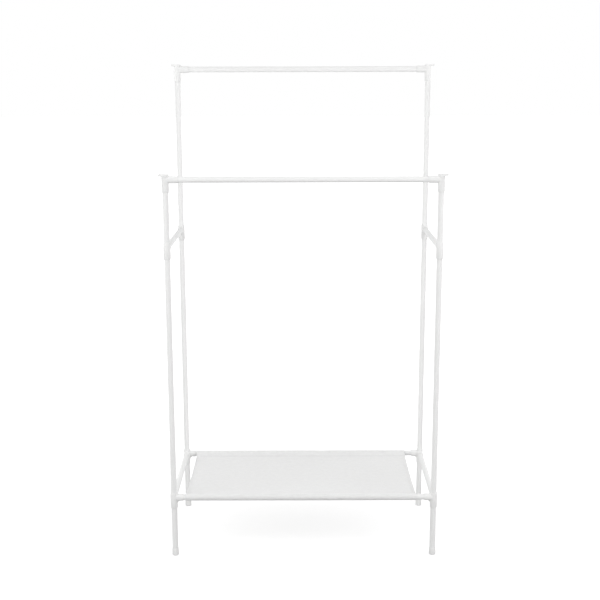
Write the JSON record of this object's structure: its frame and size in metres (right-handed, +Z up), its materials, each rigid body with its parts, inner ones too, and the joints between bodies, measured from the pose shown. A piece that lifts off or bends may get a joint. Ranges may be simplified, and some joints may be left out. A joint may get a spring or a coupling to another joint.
{
  "type": "clothes rack",
  "caption": "Free-standing clothes rack of round tubes in moulded connectors, with a low front hanging rail, a high rear rail and a cloth shelf near the floor.",
  "frame": {"origin": "on the floor, midway between the four feet", "axes": "+Z up, +Y from the front legs to the rear legs, +X to the right seen from the front"},
  "size_m": [0.9036, 0.4406, 1.6086],
  "materials": {
    "powder_coated_tube": "white powder coat, satin",
    "moulded_connector": "white moulded plastic, satin",
    "foot_cap": "white moulded plastic, satin",
    "shelf_cloth": "white woven cloth, matt"
  },
  "bodies": {
    "frame": {"front_left_lower_leg": "powder_coated_tube", "front_left_middle_leg": "powder_coated_tube", "front_left_upper_post": "powder_coated_tube", "front_right_lower_leg": "powder_coated_tube", "front_right_middle_leg": "powder_coated_tube", "front_right_upper_post": "powder_coated_tube", "rear_left_lower_leg": "powder_coated_tube", "rear_left_middle_leg": "powder_coated_tube", "rear_left_upper_post": "powder_coated_tube", "rear_right_lower_leg": "powder_coated_tube", "rear_right_middle_leg": "powder_coated_tube", "rear_right_upper_post": "powder_coated_tube", "front_hanging_rail": "powder_coated_tube", "rear_hanging_rail": "powder_coated_tube", "front_shelf_bar": "powder_coated_tube", "rear_shelf_bar": "powder_coated_tube", "left_side_brace": "powder_coated_tube", "right_side_brace": "powder_coated_tube", "left_shelf_side_bar": "powder_coated_tube", "right_shelf_side_bar": "powder_coated_tube", "front_left_rail_elbow": "moulded_connector", "front_left_brace_connector": "moulded_connector", "front_left_shelf_connector": "moulded_connector", "front_right_rail_elbow": "moulded_connector", "front_right_brace_connector": "moulded_connector", "front_right_shelf_connector": "moulded_connector", "rear_left_rail_elbow": "moulded_connector", "rear_left_brace_connector": "moulded_connector", "rear_left_shelf_connector": "moulded_connector", "rear_right_rail_elbow": "moulded_connector", "rear_right_brace_connector": "moulded_connector", "rear_right_shelf_connector": "moulded_connector", "front_left_foot_cap": "foot_cap", "front_right_foot_cap": "foot_cap", "rear_left_foot_cap": "foot_cap", "rear_right_foot_cap": "foot_cap"},
    "cloth": {"shelf_cloth": "shelf_cloth"}
  },
  "joints": [
    {"name": "shelf_cloth_slide", "type": "slide", "parent": "frame", "child": "cloth", "axis": [1, 0, 0], "range_m": [-0.0057, 0.0247]}
  ]
}
